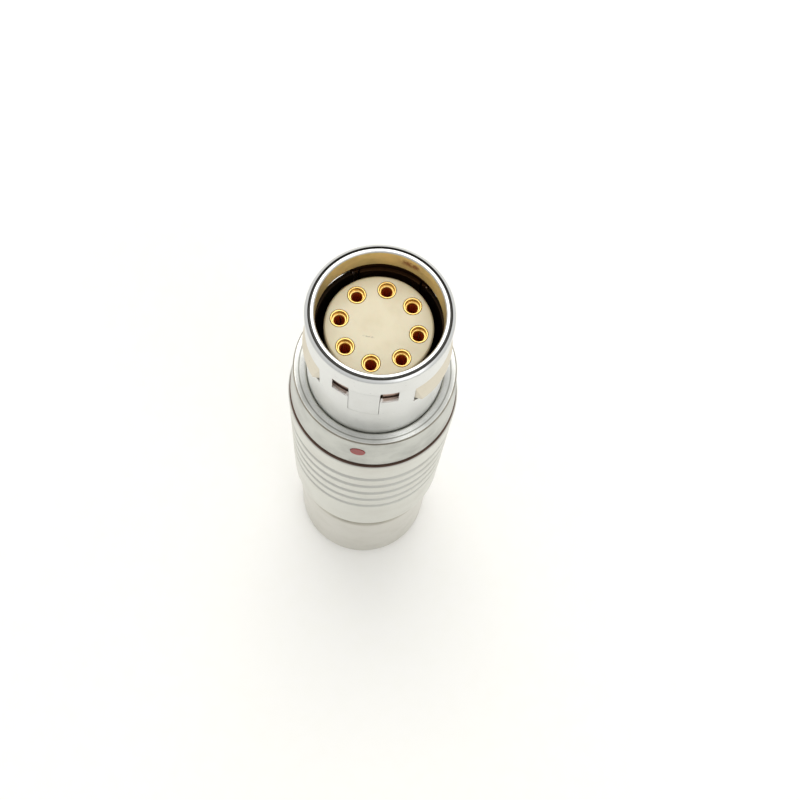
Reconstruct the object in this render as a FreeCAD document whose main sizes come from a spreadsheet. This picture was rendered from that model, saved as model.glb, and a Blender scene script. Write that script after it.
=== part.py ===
import FreeCAD, Part
import math
import os
import Sketcher

# Push pull circular plug with eight socket contacts, standing on its back nut.
# Units are millimetres. The axis of the plug is Z, the base of the nut is z = 0,
# and the key and the red alignment dot face -Y.

doc = FreeCAD.newDocument("push_pull_connector")

# Driving dimensions, each written once.
DIMENSIONS = [
    # Lengths along the axis, from the base up.
    ("nut_length", 14.0),
    ("sleeve_length", 25.8),
    ("nose_projection", 11.4),
    ("release_travel", 1.0),
    ("nut_stop_gap", 0.8),
    # Clearances.
    ("slide_fit", 0.08),
    ("seat_fit", 0.03),
    ("thread_fit", 0.05),
    ("stop_gap", 0.15),
    # Insulators and contacts.
    ("insulator_radius", 4.29),
    ("face_depth", 2.75),
    ("face_bevel", 0.12),
    ("front_insulator_length", 9.25),
    ("rear_insulator_length", 8.0),
    ("contact_count", 8),
    ("contact_edge", 1.15),
    ("barrel_radius", 0.715),
    ("socket_radius", 0.415),
    ("socket_depth", 5.5),
    ("mouth_radius", 0.57),
    ("mouth_depth", 0.36),
    ("mouth_bevel", 0.05),
    ("mouth_floor_bevel", 0.06),
    ("hood_length", 0.65),
    ("slot_width", 0.13),
    ("slot_length", 3.6),
    ("shoulder_step", 0.12),
    ("shoulder_length", 1.0),
    ("tail_radius", 0.58),
    ("cup_radius", 0.42),
    ("cup_length", 5.0),
    ("cup_depth", 3.2),
    ("cup_opening_length", 2.24),
    # Insert carrier and earthing cone.
    ("carrier_wall", 0.40),
    ("rib_height", 0.35),
    ("rib_length", 1.4),
    ("rib_rise", 2.0),
    ("half_gap", 0.06),
    ("cone_flange_length", 1.0),
    ("cone_skirt_length", 2.4),
    ("cone_wall", 0.45),
    ("cone_tip_wall", 0.225),
    # Nose tube.
    ("latch_space", 0.69),
    ("lip_step", 0.37),
    ("lip_depth", 2.05),
    ("nose_wall", 0.40),
    ("rim_bevel", 0.34),
    ("rim_bevel_drop", 0.22),
    ("rim_inner_bevel", 0.10),
    ("rim_line_width", 0.13),
    ("rim_line_depth", 0.16),
    ("flange_step", 0.60),
    ("flange_length", 2.4),
    ("shoulder_depth", 3.1),
    ("window_depth", 3.05),
    ("window_length", 2.9),
    ("window_half_angle", 49.0),
    ("port_depth", 2.4),
    ("port_length", 1.9),
    ("port_width", 1.36),
    # Alignment key.
    ("key_half_width", 1.22),
    ("key_gap", 0.03),
    ("key_depth", 2.75),
    ("key_length", 4.3),
    ("key_reach", 0.50),
    # Latch claws and the cage that carries them.
    ("claw_side_gap", 0.27),
    ("claw_rear_gap", 0.15),
    ("claw_proud", 0.25),
    ("claw_tuck", 0.07),
    ("claw_land", 0.15),
    ("claw_swing_room", 0.68),
    ("arm_length", 7.7),
    ("arm_half_width", 2.2),
    ("arm_wall", 0.28),
    ("foot_gap", 0.1),
    ("cage_wall", 0.27),
    ("cage_gap", 0.11),
    ("cage_base_length", 1.4),
    ("cage_slit_offset", 2.51),
    ("cage_slit_width", 0.16),
    ("cage_slit_length", 5.0),
    # Core body.
    ("core_step", 0.23),
    ("core_flange_length", 1.5),
    ("thread_length", 6.0),
    ("thread_relief", 0.25),
    ("relief_width", 0.9),
    # Release sleeve.
    ("sleeve_wall", 1.12),
    ("front_width", 1.20),
    ("front_dish", 0.34),
    ("front_step_drop", 0.16),
    ("front_step_width", 0.12),
    ("mouth_chamfer", 0.17),
    ("band_length", 4.3),
    ("band_drop", 0.22),
    ("band_bevel", 0.32),
    ("neck_groove_width", 0.5),
    ("neck_groove_depth", 0.34),
    ("body_bevel", 0.12),
    ("groove_count", 5),
    ("groove_start", 8.94),
    ("groove_pitch", 2.35),
    ("groove_width", 1.0),
    ("groove_floor_width", 0.46),
    ("groove_depth", 0.30),
    ("sleeve_rear_bevel", 0.35),
    ("dot_radius", 0.64),
    ("dot_depth", 0.55),
    ("dot_floor_gap", 0.06),
    ("dot_drop", 1.94),
    ("dot_proud", 0.04),
    # Retaining ring and return spring.
    ("ring_inset", 2.7),
    ("ring_length", 1.4),
    ("ring_gap", 0.15),
    ("ring_slot_width", 0.9),
    ("spring_wire", 0.5),
    ("spring_turns", 7.5),
    ("spring_end_gap", 0.05),
    # Back nut and collet.
    ("nut_step", 0.5),
    ("nut_bevel", 0.45),
    ("nut_shoulder_bevel", 0.4),
    ("neck_length", 3.0),
    ("neck_gap", 0.12),
    ("cable_clearance", 0.5),
    ("cable_mouth_bevel", 0.5),
    ("nut_floor", 3.0),
    ("grip_step", 0.39),
    ("collet_gap", 0.1),
    ("collet_side_gap", 0.25),
    ("collet_land", 2.6),
    ("collet_slots", 6),
    ("collet_slot_width", 0.7),
    ("collet_web", 2.2),
]

# Positions and radii worked out from the driving dimensions.
DERIVED = [
    # Levels above the base.
    ("neck_top", "Dims.nut_length + Dims.neck_length"),
    ("sleeve_rear", "Dims.nut_length + Dims.release_travel + Dims.nut_stop_gap"),
    ("sleeve_front", "sleeve_rear + Dims.sleeve_length"),
    ("nose_front", "sleeve_front + Dims.nose_projection"),
    ("lip_level", "nose_front - Dims.lip_depth"),
    ("insulator_face", "nose_front - Dims.face_depth"),
    ("insulator_split", "insulator_face - Dims.front_insulator_length"),
    ("insulator_rear", "insulator_split - Dims.rear_insulator_length"),
    ("contact_rear", "insulator_rear - Dims.cup_length"),
    ("window_front", "nose_front - Dims.window_depth"),
    ("window_rear", "window_front - Dims.window_length"),
    ("claw_rear", "window_rear + Dims.claw_rear_gap"),
    ("claw_foot", "claw_rear - Dims.arm_length"),
    ("cage_base_top", "claw_foot - Dims.foot_gap"),
    ("core_front", "cage_base_top - Dims.cage_base_length"),
    ("cage_top", "lip_level - Dims.release_travel - Dims.stop_gap"),
    ("nose_shoulder", "sleeve_front - Dims.shoulder_depth"),
    ("nose_rear", "nose_shoulder - Dims.flange_length"),
    ("core_step_level", "nose_rear - Dims.release_travel - Dims.stop_gap"),
    ("ring_rear", "sleeve_rear + Dims.ring_inset"),
    ("ring_front", "ring_rear + Dims.ring_length"),
    ("core_flange_front", "ring_front + Dims.core_flange_length"),
    ("core_rear", "neck_top - Dims.thread_length"),
    ("cone_rear", "core_rear - Dims.cone_flange_length"),
    ("collet_front", "cone_rear - Dims.collet_gap"),
    ("collet_rear", "Dims.nut_floor + Dims.collet_gap"),
    ("collet_cone_top", "collet_front - Dims.collet_land"),
    ("rib_level", "insulator_rear + Dims.rib_rise"),
    # Radii, from the inside out.
    ("contact_circle", "Dims.insulator_radius - Dims.contact_edge"),
    ("cable_grip_radius", "Dims.insulator_radius - Dims.grip_step"),
    ("cable_radius", "cable_grip_radius + Dims.cable_clearance"),
    ("carrier_bore", "Dims.insulator_radius + Dims.seat_fit"),
    ("carrier_radius", "carrier_bore + Dims.carrier_wall"),
    ("core_bore", "carrier_radius + Dims.seat_fit"),
    ("lip_radius", "Dims.insulator_radius + Dims.latch_space"),
    ("nose_bore", "lip_radius + Dims.lip_step"),
    ("nose_radius", "nose_bore + Dims.nose_wall"),
    ("window_half_width", "nose_radius * sin(Dims.window_half_angle)"),
    ("core_radius", "nose_bore - Dims.slide_fit"),
    ("cage_bore", "core_radius - Dims.cage_wall"),
    ("cage_seat_radius", "Dims.insulator_radius + Dims.cage_gap"),
    ("claw_inner", "Dims.insulator_radius + Dims.claw_swing_room"),
    ("claw_outer", "nose_radius + Dims.claw_proud"),
    ("thread_radius", "core_radius + Dims.core_step"),
    ("flange_radius", "nose_radius + Dims.flange_step"),
    ("sleeve_bore", "flange_radius + Dims.seat_fit"),
    ("sleeve_radius", "sleeve_bore + Dims.sleeve_wall"),
    ("front_radius", "nose_radius + Dims.front_width"),
    ("core_flange_radius", "sleeve_bore - Dims.slide_fit"),
    ("ring_radius", "sleeve_bore - Dims.seat_fit"),
    ("ring_bore", "thread_radius + Dims.ring_gap"),
    ("spring_radius", "(thread_radius + sleeve_bore) / 2"),
    ("nut_radius", "sleeve_radius - Dims.nut_step"),
    ("neck_radius", "sleeve_bore - Dims.neck_gap"),
    ("nut_bore", "thread_radius + Dims.thread_fit"),
    ("collet_radius", "nut_bore - Dims.collet_side_gap"),
]


def make_sheet(name, rows, prefix=""):
    """Fill a spreadsheet with one named cell in each row."""
    page = doc.addObject("Spreadsheet::Sheet", name)
    for row, (alias, content) in enumerate(rows, start=1):
        page.set("A%d" % row, alias)
        page.set("B%d" % row, prefix + str(content))
        page.setAlias("B%d" % row, alias)
    return page


dims = make_sheet("Dims", DIMENSIONS)
place = make_sheet("Place", DERIVED, "=")
doc.recompute()


def value(expression):
    """The number that an expression over the two sheets comes to."""
    return float(dims.evalExpression(expression))


def new_body(label):
    """A PartDesign body that makes one sub-part."""
    body = doc.addObject("PartDesign::Body", label)
    body.Label = label
    return body


def origin_plane(body, role):
    """One of the body's own origin planes."""
    for feature in body.Origin.OriginFeatures:
        if feature.Role == role:
            return feature
    raise ValueError(role)


def new_sketch(body, name, role="XZ_Plane", height=None):
    """An empty sketch on one of the body's origin planes, raised if asked."""
    sketch = body.newObject("Sketcher::SketchObject", name)
    sketch.AttachmentSupport = (origin_plane(body, role), [""])
    sketch.MapMode = "FlatFace"
    if height is not None:
        sketch.setExpression("AttachmentOffset.Base.z", height)
    return sketch


def pin_coordinate(sketch, kind, geometry, position, expression):
    """Bind one coordinate of a sketch point to an expression."""
    number = value(expression)
    if abs(number) < 1e-9:
        axis = -2 if kind == "DistanceX" else -1
        sketch.addConstraint(Sketcher.Constraint("PointOnObject", geometry, position, axis))
        return
    if number > 0:
        constraint = Sketcher.Constraint(kind, -1, 1, geometry, position, number)
    else:
        constraint = Sketcher.Constraint(kind, geometry, position, -1, 1, -number)
        expression = "-(%s)" % expression
    index = sketch.addConstraint(constraint)
    sketch.setExpression("Constraints[%d]" % index, expression)


def draw_polygon(sketch, corners):
    """Add a closed outline whose corners are pairs of expressions."""
    points = [FreeCAD.Vector(value(x), value(y), 0) for x, y in corners]
    count = len(points)
    lines = [Part.LineSegment(points[i], points[(i + 1) % count]) for i in range(count)]
    first = sketch.addGeometry(lines, False)[0]
    for i in range(count):
        following = first + (i + 1) % count
        sketch.addConstraint(Sketcher.Constraint("Coincident", first + i, 2, following, 1))
    for i, (x, y) in enumerate(corners):
        pin_coordinate(sketch, "DistanceX", first + i, 1, x)
        pin_coordinate(sketch, "DistanceY", first + i, 1, y)


def draw_rectangle(sketch, left, right, bottom, top):
    """Add a rectangle whose four sides are expressions."""
    draw_polygon(sketch, [(left, bottom), (right, bottom), (right, top), (left, top)])


def draw_circle(sketch, x, y, radius):
    """Add a circle with its centre and radius bound to expressions."""
    centre = FreeCAD.Vector(value(x), value(y), 0)
    circle = Part.Circle(centre, FreeCAD.Vector(0, 0, 1), value(radius))
    index = sketch.addGeometry(circle, False)
    constraint = sketch.addConstraint(Sketcher.Constraint("Radius", index, value(radius)))
    sketch.setExpression("Constraints[%d]" % constraint, radius)
    pin_coordinate(sketch, "DistanceX", index, 3, x)
    pin_coordinate(sketch, "DistanceY", index, 3, y)


def revolve(body, name, corners, angle=360.0):
    """Turn a profile of (radius, height) corners about the plug's axis."""
    sketch = new_sketch(body, name + "_profile")
    draw_polygon(sketch, corners)
    turned = body.newObject("PartDesign::Revolution", name)
    turned.Profile = sketch
    turned.ReferenceAxis = (sketch, ["V_Axis"])
    turned.Angle = angle
    turned.Midplane = angle < 360.0
    body.Tip = turned
    return turned


def turn_groove(body, name, corners):
    """Cut a turned groove of (radius, height) corners."""
    sketch = new_sketch(body, name + "_profile")
    draw_polygon(sketch, corners)
    groove = body.newObject("PartDesign::Groove", name)
    groove.Profile = sketch
    groove.ReferenceAxis = (sketch, ["V_Axis"])
    groove.Angle = 360.0
    body.Tip = groove
    return groove


def pocket(body, name, sketch, both_sides=True, reverse=False, depth=None):
    """Cut along a sketch's normal: through both ways, through one way, or to a depth."""
    cut = body.newObject("PartDesign::Pocket", name)
    cut.Profile = sketch
    cut.Midplane = both_sides
    cut.Reversed = reverse
    if depth is None:
        cut.Type = "ThroughAll"
    else:
        cut.Type = "Length"
        cut.setExpression("Length", depth)
    body.Tip = cut
    return cut


def polar_pattern(body, name, feature, axis_sketch, count):
    """Repeat a feature round the plug's axis."""
    pattern = body.newObject("PartDesign::PolarPattern", name)
    pattern.Originals = [feature]
    pattern.Axis = (axis_sketch, ["N_Axis"])
    pattern.Angle = 360.0
    pattern.setExpression("Occurrences", count)
    body.Tip = pattern
    return pattern


def turn_about_axis(body, degrees):
    """Stand a body that was modelled at +X at another bearing."""
    rotation = FreeCAD.Rotation(FreeCAD.Vector(0, 0, 1), degrees)
    body.Placement = FreeCAD.Placement(FreeCAD.Vector(0, 0, 0), rotation)


def make_nose_tube():
    """Plug nose: rim, lip, thin wall with its windows, and the flange in the sleeve."""
    body = new_body("nose_tube")
    line_inner = "Place.nose_radius - Dims.rim_bevel - Dims.rim_line_width"
    line_outer = "Place.nose_radius - Dims.rim_bevel"
    line_floor = "Place.nose_front - Dims.rim_line_depth"
    revolve(body, "nose_wall", [
        ("Place.nose_bore", "Place.nose_rear"),
        ("Place.flange_radius", "Place.nose_rear"),
        ("Place.flange_radius", "Place.nose_shoulder"),
        ("Place.nose_radius", "Place.nose_shoulder"),
        ("Place.nose_radius", "Place.nose_front - Dims.rim_bevel_drop"),
        (line_outer, "Place.nose_front"),
        (line_outer, line_floor),
        (line_inner, line_floor),
        (line_inner, "Place.nose_front"),
        ("Place.lip_radius + Dims.rim_inner_bevel", "Place.nose_front"),
        ("Place.lip_radius", "Place.nose_front - Dims.rim_inner_bevel"),
        ("Place.lip_radius", "Place.lip_level"),
        ("Place.nose_bore", "Place.lip_level"),
    ])
    windows = new_sketch(body, "claw_windows_outline", "YZ_Plane")
    draw_rectangle(windows, "-Place.window_half_width", "Place.window_half_width",
                   "Place.window_rear", "Place.window_front")
    pocket(body, "claw_windows", windows)
    slot_edge = "(Dims.key_half_width + Dims.key_gap)"
    port_top = "Place.nose_front - Dims.port_depth"
    port_foot = "Place.nose_front - Dims.port_depth - Dims.port_length"
    ports = new_sketch(body, "ports_outline")
    draw_rectangle(ports, slot_edge, slot_edge + " + Dims.port_width", port_foot, port_top)
    draw_rectangle(ports, "-%s - Dims.port_width" % slot_edge, "-" + slot_edge, port_foot, port_top)
    pocket(body, "ports", ports, both_sides=False, reverse=True)
    slot = new_sketch(body, "key_slot_outline")
    slot_front = "Place.nose_front - Dims.key_depth + Dims.key_gap"
    slot_rear = "Place.nose_front - Dims.key_depth - Dims.key_length - Dims.seat_fit"
    draw_rectangle(slot, "-" + slot_edge, slot_edge, slot_rear, slot_front)
    pocket(body, "key_slot", slot, both_sides=False, reverse=True)
    return body


def make_alignment_key():
    """Block that fills the slot in the nose and stands in from its bore."""
    body = new_body("alignment_key")
    top = "Place.nose_front - Dims.key_depth"
    foot = "Place.nose_front - Dims.key_depth - Dims.key_length"
    revolve(body, "key_arc", [
        ("Place.nose_bore - Dims.key_reach", foot),
        ("Place.nose_radius", foot),
        ("Place.nose_radius", top),
        ("Place.nose_bore - Dims.key_reach", top),
    ], angle=60.0)
    sides = new_sketch(body, "key_sides_outline", "YZ_Plane")
    far = "(Place.nose_radius + 1)"
    below = foot + " - 1"
    above = top + " + 1"
    draw_rectangle(sides, "Dims.key_half_width", far, below, above)
    draw_rectangle(sides, "-" + far, "-Dims.key_half_width", below, above)
    pocket(body, "key_sides", sides)
    turn_about_axis(body, -90)
    return body


def make_release_sleeve():
    """Outer sleeve: dished front, tapered band, grip grooves and stepped bore."""
    body = new_body("release_sleeve")
    band_foot = "Place.sleeve_front - Dims.band_length"
    band_radius = "(Place.sleeve_radius - Dims.band_drop)"
    groove_top = band_foot + " - Dims.band_bevel"
    groove_foot = groove_top + " - Dims.neck_groove_width"
    groove_floor = "Place.sleeve_radius - Dims.neck_groove_depth"
    mouth = "Place.nose_radius + Dims.seat_fit"
    step = "Place.sleeve_front - Dims.front_step_drop"
    step_radius = "Place.front_radius - Dims.front_step_width"
    revolve(body, "sleeve_wall", [
        ("Place.sleeve_bore", "Place.sleeve_rear"),
        ("Place.sleeve_radius - Dims.sleeve_rear_bevel", "Place.sleeve_rear"),
        ("Place.sleeve_radius", "Place.sleeve_rear + Dims.sleeve_rear_bevel"),
        ("Place.sleeve_radius", groove_foot + " - Dims.body_bevel"),
        ("Place.sleeve_radius - Dims.body_bevel", groove_foot),
        (groove_floor, groove_foot),
        (groove_floor, groove_top),
        (band_radius, groove_top),
        (band_radius, band_foot),
        ("Place.front_radius", step),
        (step_radius, step),
        (step_radius, "Place.sleeve_front"),
        (mouth + " + Dims.mouth_chamfer", "Place.sleeve_front - Dims.front_dish"),
        (mouth, "Place.sleeve_front - Dims.front_dish - Dims.mouth_chamfer"),
        (mouth, "Place.nose_shoulder"),
        ("Place.sleeve_bore", "Place.nose_shoulder"),
    ])
    # One grip groove with sloping sides, then its copies towards the rear.
    centre = "Place.sleeve_front - Dims.groove_start"
    outside = "Place.sleeve_radius + 1"
    spread = "(Dims.groove_width - Dims.groove_floor_width) / 2 / Dims.groove_depth"
    flare = " (Dims.groove_width / 2 + %s)" % spread
    grip = turn_groove(body, "grip_groove", [
        ("Place.sleeve_radius - Dims.groove_depth", centre + " - Dims.groove_floor_width / 2"),
        (outside, centre + " -" + flare),
        (outside, centre + " +" + flare),
        ("Place.sleeve_radius - Dims.groove_depth", centre + " + Dims.groove_floor_width / 2"),
    ])
    rows = body.newObject("PartDesign::LinearPattern", "grip_grooves")
    rows.Originals = [grip]
    rows.Direction = (grip.Profile[0], ["V_Axis"])
    rows.Reversed = True
    rows.setExpression("Length", "Dims.groove_pitch * (Dims.groove_count - 1)")
    rows.setExpression("Occurrences", "Dims.groove_count")
    body.Tip = rows
    seat = new_sketch(body, "dot_seat_outline", "XZ_Plane", "Place.sleeve_radius")
    draw_circle(seat, "0", "Place.sleeve_front - Dims.dot_drop", "Dims.dot_radius + Dims.seat_fit")
    pocket(body, "dot_seat", seat, both_sides=False,
           depth="Place.sleeve_radius - Place.front_radius + Dims.dot_depth + Dims.dot_floor_gap")
    return body


def make_alignment_dot():
    """Red dot: a small disc whose face follows the tapered band."""
    body = new_body("alignment_dot")
    band_radius = "(Place.sleeve_radius - Dims.band_drop + Dims.dot_proud)"
    band_foot = "Place.sleeve_front - Dims.band_length"
    revolve(body, "dot_band", [
        ("Place.front_radius - Dims.dot_depth", band_foot),
        (band_radius, band_foot),
        ("Place.front_radius + Dims.dot_proud", "Place.sleeve_front - Dims.front_step_drop"),
        ("Place.front_radius - Dims.dot_depth", "Place.sleeve_front - Dims.front_step_drop"),
    ], angle=40.0)
    outline = new_sketch(body, "dot_outline", "YZ_Plane")
    reach = "Place.sleeve_radius"
    draw_rectangle(outline, "-" + reach, reach, band_foot + " - 1", "Place.sleeve_front + 1")
    draw_circle(outline, "0", "Place.sleeve_front - Dims.dot_drop", "Dims.dot_radius")
    pocket(body, "dot_round", outline)
    turn_about_axis(body, -90)
    return body


def make_retaining_ring():
    """Slotted ring in the sleeve's rear bore, which stops on the core's flange."""
    body = new_body("retaining_ring")
    revolve(body, "ring_wall", [
        ("Place.ring_bore", "Place.ring_rear"),
        ("Place.ring_radius", "Place.ring_rear"),
        ("Place.ring_radius", "Place.ring_front"),
        ("Place.ring_bore", "Place.ring_front"),
    ])
    slots = new_sketch(body, "spanner_slots_outline", "YZ_Plane")
    half = "Dims.ring_slot_width / 2"
    draw_rectangle(slots, "-" + half, half, "Place.ring_rear - 1",
                   "Place.ring_rear + Dims.ring_length / 2")
    pocket(body, "spanner_slots", slots)
    return body


def make_core_body():
    """Inner body: threaded tail, stop flange and the tube that runs in the nose."""
    body = new_body("core_body")
    relief = "Place.thread_radius - Dims.thread_relief"
    relief_foot = "Place.ring_front - Dims.relief_width"
    revolve(body, "core_wall", [
        ("Place.core_bore", "Place.core_rear"),
        (relief, "Place.core_rear"),
        ("Place.thread_radius", "Place.core_rear + Dims.thread_relief"),
        ("Place.thread_radius", relief_foot),
        (relief, relief_foot),
        (relief, "Place.ring_front"),
        ("Place.core_flange_radius", "Place.ring_front"),
        ("Place.core_flange_radius", "Place.core_flange_front"),
        ("Place.thread_radius", "Place.core_flange_front"),
        ("Place.thread_radius", "Place.core_step_level"),
        ("Place.core_radius", "Place.core_step_level"),
        ("Place.core_radius", "Place.core_front"),
        ("Place.core_bore", "Place.core_front"),
    ])
    return body


def make_latch_cage():
    """Slotted cage on the front of the core, with an opening on each side for a claw."""
    body = new_body("latch_cage")
    revolve(body, "cage_wall", [
        ("Place.cage_seat_radius", "Place.core_front"),
        ("Place.core_radius", "Place.core_front"),
        ("Place.core_radius", "Place.cage_top"),
        ("Place.cage_bore", "Place.cage_top"),
        ("Place.cage_bore", "Place.cage_base_top"),
        ("Place.cage_seat_radius", "Place.cage_base_top"),
    ])
    above = "Place.cage_top + 1"
    sides = new_sketch(body, "claw_openings_outline", "YZ_Plane")
    draw_rectangle(sides, "-Place.window_half_width", "Place.window_half_width",
                   "Place.cage_base_top", above)
    pocket(body, "claw_openings", sides)
    # The key passes the cage here, also with the nose pulled back.
    key_half = "(Dims.key_half_width + Dims.stop_gap)"
    key_foot = ("Place.nose_front - Dims.key_depth - Dims.key_length"
                " - Dims.release_travel - Dims.stop_gap")
    keyway = new_sketch(body, "keyway_outline")
    draw_rectangle(keyway, "-" + key_half, key_half, key_foot, above)
    pocket(body, "keyway", keyway, both_sides=False, reverse=True)
    # Two slits opposite the key make a spring tongue.
    slits = new_sketch(body, "slits_outline")
    slit_foot = "Place.cage_top - Dims.cage_slit_length"
    near = "(Dims.cage_slit_offset - Dims.cage_slit_width / 2)"
    far = "(Dims.cage_slit_offset + Dims.cage_slit_width / 2)"
    draw_rectangle(slits, near, far, slit_foot, above)
    draw_rectangle(slits, "-" + far, "-" + near, slit_foot, above)
    pocket(body, "slits", slits, both_sides=False, reverse=False)
    return body


def make_latch_claw(label, bearing):
    """Claw head that fills a window, on a leaf arm that stands on the cage."""
    body = new_body(label)
    tip = "Place.window_front + Dims.claw_tuck"
    edge = "Place.claw_rear + Dims.claw_land"
    arm_outer = "Place.claw_inner + Dims.arm_wall"
    revolve(body, "claw_section", [
        ("Place.claw_inner", "Place.claw_foot"),
        (arm_outer, "Place.claw_foot"),
        (arm_outer, "Place.claw_rear"),
        ("Place.claw_outer", "Place.claw_rear"),
        ("Place.claw_outer", edge),
        ("Place.core_radius", "Place.window_front"),
        ("Place.core_radius", tip),
        ("Place.claw_inner", tip),
    ], angle=140.0)
    head_half = "(Place.window_half_width - Dims.claw_side_gap)"
    far = "(Place.claw_outer + 1)"
    below = "Place.claw_foot - 1"
    head_foot = "Place.claw_rear - Dims.claw_land"
    sides = new_sketch(body, "claw_sides_outline", "YZ_Plane")
    draw_polygon(sides, [
        ("Dims.arm_half_width", below),
        (far, below),
        (far, tip + " + 1"),
        (head_half, tip + " + 1"),
        (head_half, head_foot),
        ("Dims.arm_half_width", head_foot),
    ])
    draw_polygon(sides, [
        ("-Dims.arm_half_width", below),
        ("-" + far, below),
        ("-" + far, tip + " + 1"),
        ("-" + head_half, tip + " + 1"),
        ("-" + head_half, head_foot),
        ("-Dims.arm_half_width", head_foot),
    ])
    pocket(body, "claw_sides", sides)
    turn_about_axis(body, bearing)
    return body


def drill_contact_holes(body, name, level, radius, depth, upward):
    """Drill a hole for every contact, from a level, upward or downward."""
    sketch = new_sketch(body, name + "_outline", "XY_Plane", level)
    draw_circle(sketch, "0", "-Place.contact_circle", radius)
    hole = pocket(body, name, sketch, both_sides=False, reverse=upward, depth=depth)
    polar_pattern(body, name + "_ring", hole, sketch, "Dims.contact_count")


def make_front_insulator():
    """Ivory disc that carries the contacts' socket ends."""
    body = new_body("front_insulator")
    revolve(body, "front_block", [
        ("0", "Place.insulator_split"),
        ("Dims.insulator_radius", "Place.insulator_split"),
        ("Dims.insulator_radius", "Place.insulator_face - Dims.face_bevel"),
        ("Dims.insulator_radius - Dims.face_bevel", "Place.insulator_face"),
        ("0", "Place.insulator_face"),
    ])
    hole = "Dims.barrel_radius + Dims.seat_fit"
    drill_contact_holes(body, "barrel_holes", "Place.insulator_split", hole,
                        "Dims.front_insulator_length + 1", True)
    drill_contact_holes(body, "shoulder_seats", "Place.insulator_split",
                        hole + " + Dims.shoulder_step", "Dims.shoulder_length", True)
    return body


def make_rear_insulator():
    """Second insulator, grooved for the rib of the insert carrier."""
    body = new_body("rear_insulator")
    groove_floor = "Place.carrier_bore - Dims.rib_height - Dims.seat_fit"
    revolve(body, "rear_block", [
        ("0", "Place.insulator_rear"),
        ("Dims.insulator_radius", "Place.insulator_rear"),
        ("Dims.insulator_radius", "Place.rib_level - Dims.seat_fit"),
        (groove_floor, "Place.rib_level - Dims.seat_fit"),
        (groove_floor, "Place.rib_level + Dims.rib_length + Dims.seat_fit"),
        ("Dims.insulator_radius", "Place.rib_level + Dims.rib_length + Dims.seat_fit"),
        ("Dims.insulator_radius", "Place.insulator_split"),
        ("0", "Place.insulator_split"),
    ])
    drill_contact_holes(body, "tail_holes", "Place.insulator_rear",
                        "Dims.tail_radius + Dims.seat_fit", "Dims.rear_insulator_length + 1", True)
    seat = "Dims.barrel_radius + Dims.shoulder_step + Dims.seat_fit"
    drill_contact_holes(body, "shoulder_seats", "Place.insulator_split - Dims.shoulder_length",
                        seat, "Dims.shoulder_length + 1", True)
    return body


def make_contact(number):
    """Socket contact: closed mouth, spring slot, locating shoulder and solder cup."""
    body = new_body("contact_%d" % number)
    shoulder = "Dims.barrel_radius + Dims.shoulder_step"
    shoulder_top = "Place.insulator_split + Dims.shoulder_length - Dims.seat_fit"
    shoulder_foot = "Place.insulator_split - Dims.shoulder_length + Dims.seat_fit"
    mouth_floor = "Place.insulator_face - Dims.mouth_depth"
    revolve(body, "contact_section", [
        ("Dims.cup_radius", "Place.contact_rear"),
        ("Dims.tail_radius", "Place.contact_rear"),
        ("Dims.tail_radius", shoulder_foot),
        (shoulder, shoulder_foot),
        (shoulder, shoulder_top),
        ("Dims.barrel_radius", shoulder_top),
        ("Dims.barrel_radius", "Place.insulator_face"),
        ("Dims.mouth_radius + Dims.mouth_bevel", "Place.insulator_face"),
        ("Dims.mouth_radius", "Place.insulator_face - Dims.mouth_bevel"),
        ("Dims.mouth_radius", mouth_floor),
        ("Dims.socket_radius + Dims.mouth_floor_bevel", mouth_floor),
        ("Dims.socket_radius", mouth_floor + " - Dims.mouth_floor_bevel"),
        ("Dims.socket_radius", "Place.insulator_face - Dims.socket_depth"),
        ("0", "Place.insulator_face - Dims.socket_depth"),
        ("0", "Place.contact_rear + Dims.cup_depth"),
        ("Dims.cup_radius", "Place.contact_rear + Dims.cup_depth"),
    ])
    half = "Dims.slot_width / 2"
    slot = new_sketch(body, "slot_outline", "YZ_Plane")
    draw_rectangle(slot, "-" + half, half, "Place.insulator_face - Dims.slot_length",
                   "Place.insulator_face - Dims.hood_length")
    pocket(body, "slot", slot)
    cup = new_sketch(body, "cup_opening_outline")
    draw_rectangle(cup, "-Dims.barrel_radius", "Dims.barrel_radius", "Place.contact_rear - 1",
                   "Place.contact_rear + Dims.cup_opening_length")
    pocket(body, "cup_opening", cup, both_sides=False, reverse=True)
    step = 360.0 / value("Dims.contact_count") * (number - 1)
    bearing = math.radians(step - 90)
    rotation = FreeCAD.Rotation(FreeCAD.Vector(0, 0, 1), step)
    body.Placement = FreeCAD.Placement(FreeCAD.Vector(0, 0, 0), rotation)
    body.setExpression("Placement.Base.x", "Place.contact_circle * %.6f" % math.cos(bearing))
    body.setExpression("Placement.Base.y", "Place.contact_circle * %.6f" % math.sin(bearing))
    return body


def make_insert_carrier(label, bearing):
    """One half shell of the carrier that clamps the insulators in the core."""
    body = new_body(label)
    rib_inner = "Place.carrier_bore - Dims.rib_height"
    revolve(body, "half_shell", [
        ("Place.carrier_bore", "Place.core_rear"),
        ("Place.carrier_radius", "Place.core_rear"),
        ("Place.carrier_radius", "Place.core_front"),
        ("Place.carrier_bore", "Place.core_front"),
        ("Place.carrier_bore", "Place.rib_level + Dims.rib_length"),
        (rib_inner, "Place.rib_level + Dims.rib_length"),
        (rib_inner, "Place.rib_level"),
        ("Place.carrier_bore", "Place.rib_level"),
    ], angle=180.0)
    split = new_sketch(body, "split_outline", "XZ_Plane")
    draw_rectangle(split, "-1", "Dims.half_gap / 2", "Place.core_rear - 1", "Place.core_front + 1")
    pocket(body, "split", split)
    turn_about_axis(body, bearing)
    return body


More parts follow.
